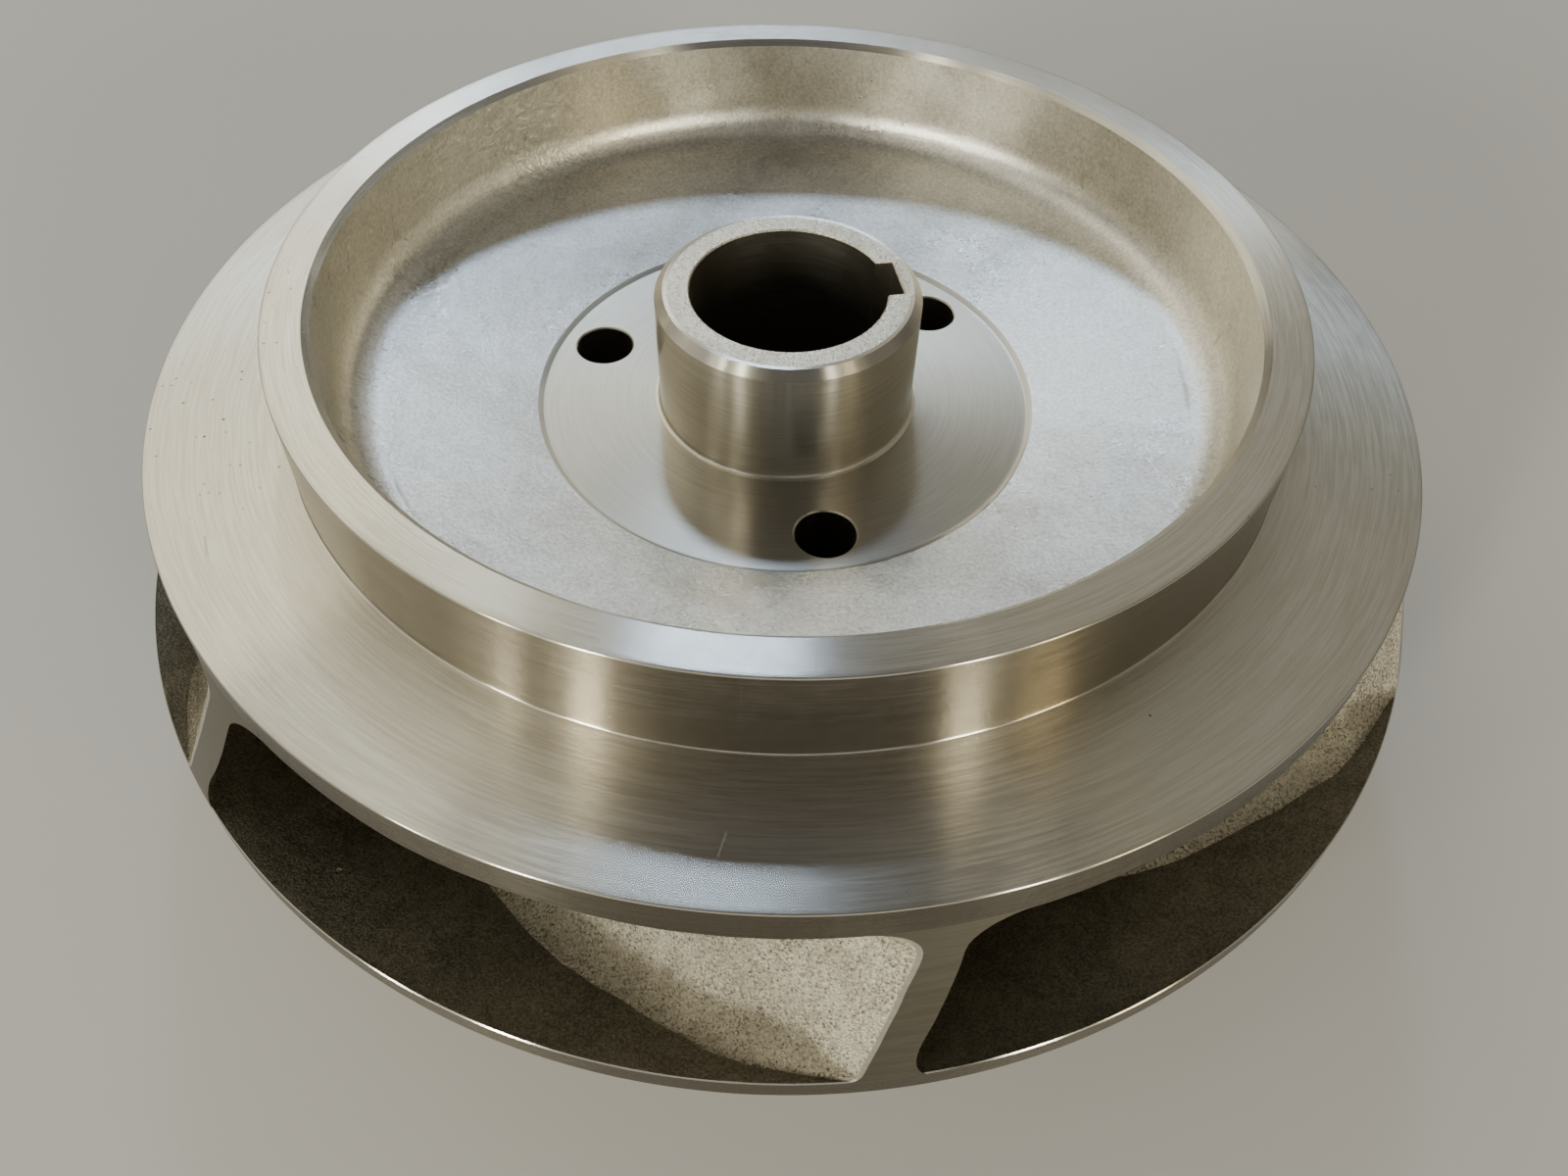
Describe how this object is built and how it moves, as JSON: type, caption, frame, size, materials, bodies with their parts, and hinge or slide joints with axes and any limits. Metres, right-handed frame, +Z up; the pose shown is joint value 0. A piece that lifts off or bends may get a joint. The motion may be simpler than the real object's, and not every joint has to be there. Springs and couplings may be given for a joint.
{
  "type": "pump impeller",
  "caption": "Closed mixed-flow pump impeller in cast stainless steel with backward-curved vanes, a keyed hub, balance holes and turned wear rings.",
  "frame": {"origin": "on the shaft axis, at the face of the front wear ring that the impeller stands on", "axes": "+Z up along the shaft axis from the suction eye to the keyed hub end; -Y towards the viewer of the picture, +X to the viewer's right"},
  "size_m": [0.451, 0.451, 0.174],
  "materials": {
    "turned_steel": "turned to a satin face with fine lathe lines",
    "ground_steel": "ground and blasted casting, even and slightly grainy",
    "cast_steel": "sand-cast skin, rough, glittering where it was blasted"
  },
  "bodies": {
    "root": {"hub_sleeve": "turned_steel", "hub_shoulder": "cast_steel", "hub_flare": "cast_steel", "hub_nose": "cast_steel", "balance_pad": "turned_steel", "dish_web": "ground_steel", "back_shroud": "turned_steel", "rear_wear_ring": "turned_steel", "front_shroud": "cast_steel", "eye_neck": "cast_steel", "front_wear_ring": "turned_steel", "vane_1": "cast_steel", "vane_2": "cast_steel", "vane_3": "cast_steel", "vane_4": "cast_steel", "vane_5": "cast_steel", "vane_6": "cast_steel"}
  },
  "joints": []
}
